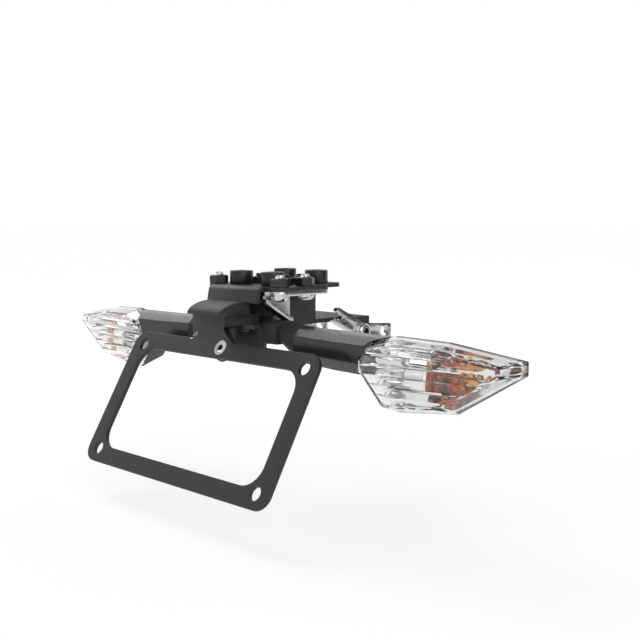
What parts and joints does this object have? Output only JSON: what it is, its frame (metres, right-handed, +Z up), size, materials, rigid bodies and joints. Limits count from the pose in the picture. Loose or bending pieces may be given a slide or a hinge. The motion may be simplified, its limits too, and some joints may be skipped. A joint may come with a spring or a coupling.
{
  "type": "tail tidy",
  "caption": "Motorbike tail tidy: folded black hanger under the tail with an open number plate frame, hooded plate lamp and turn signals with clear faceted lenses on stalks.",
  "frame": {"origin": "middle of the top faces of the four spacers that meet the underside of the tail", "axes": "+X to the rider's right, +Y forward, +Z up"},
  "size_m": [0.375, 0.1576, 0.1164],
  "materials": {
    "powder_coat": "satin black powder coat on steel sheet",
    "stainless": "brushed stainless sheet",
    "screw_steel": "bright stainless fasteners",
    "black_steel": "black zinc plated fasteners",
    "spacer_aluminium": "turned aluminium, black anodised",
    "lamp_plastic": "fine-grained black moulding",
    "stalk_plastic": "semi-gloss black moulding",
    "black_rubber": "matte black rubber",
    "clear_lens": "clear moulded plastic",
    "reflector_chrome": "bright metallised plastic",
    "holder_plastic": "grey moulding",
    "bulb_metal": "plated brass cap",
    "amber_glass": "amber glass",
    "circuit_board": "white solder mask",
    "led_white": "yellow phosphor"
  },
  "bodies": {
    "root": {"plate_frame": "powder_coat", "hanger": "powder_coat", "deck": "powder_coat", "link_bracket_right": "stainless", "link_bracket_left": "stainless", "stay_right": "stainless", "stay_left": "stainless", "link_screws": "screw_steel", "stay_screws": "screw_steel", "plate_screw": "screw_steel", "stay_nuts": "screw_steel", "plate_nut": "screw_steel", "signal_stud_right": "screw_steel", "signal_stud_left": "screw_steel", "signal_washer_right": "screw_steel", "signal_washer_left": "screw_steel", "signal_nut_right": "screw_steel", "signal_nut_left": "screw_steel", "hanger_screws": "black_steel", "hanger_nuts": "black_steel", "lamp_screws": "black_steel", "link_nuts": "black_steel", "mount_spacers": "spacer_aluminium", "lamp_housing": "lamp_plastic", "signal_body_right": "stalk_plastic", "signal_body_left": "stalk_plastic", "signal_damper_right": "black_rubber", "signal_damper_left": "black_rubber", "signal_seal_right": "black_rubber", "signal_seal_left": "black_rubber", "signal_lens_right": "clear_lens", "signal_lens_left": "clear_lens", "lamp_lens": "clear_lens", "signal_reflector_right": "reflector_chrome", "signal_reflector_left": "reflector_chrome", "signal_socket_right": "holder_plastic", "signal_socket_left": "holder_plastic", "bulb_cap_right": "bulb_metal", "bulb_cap_left": "bulb_metal", "bulb_glass_right": "amber_glass", "bulb_glass_left": "amber_glass", "lamp_board": "circuit_board", "lamp_leds": "led_white"}
  },
  "joints": []
}
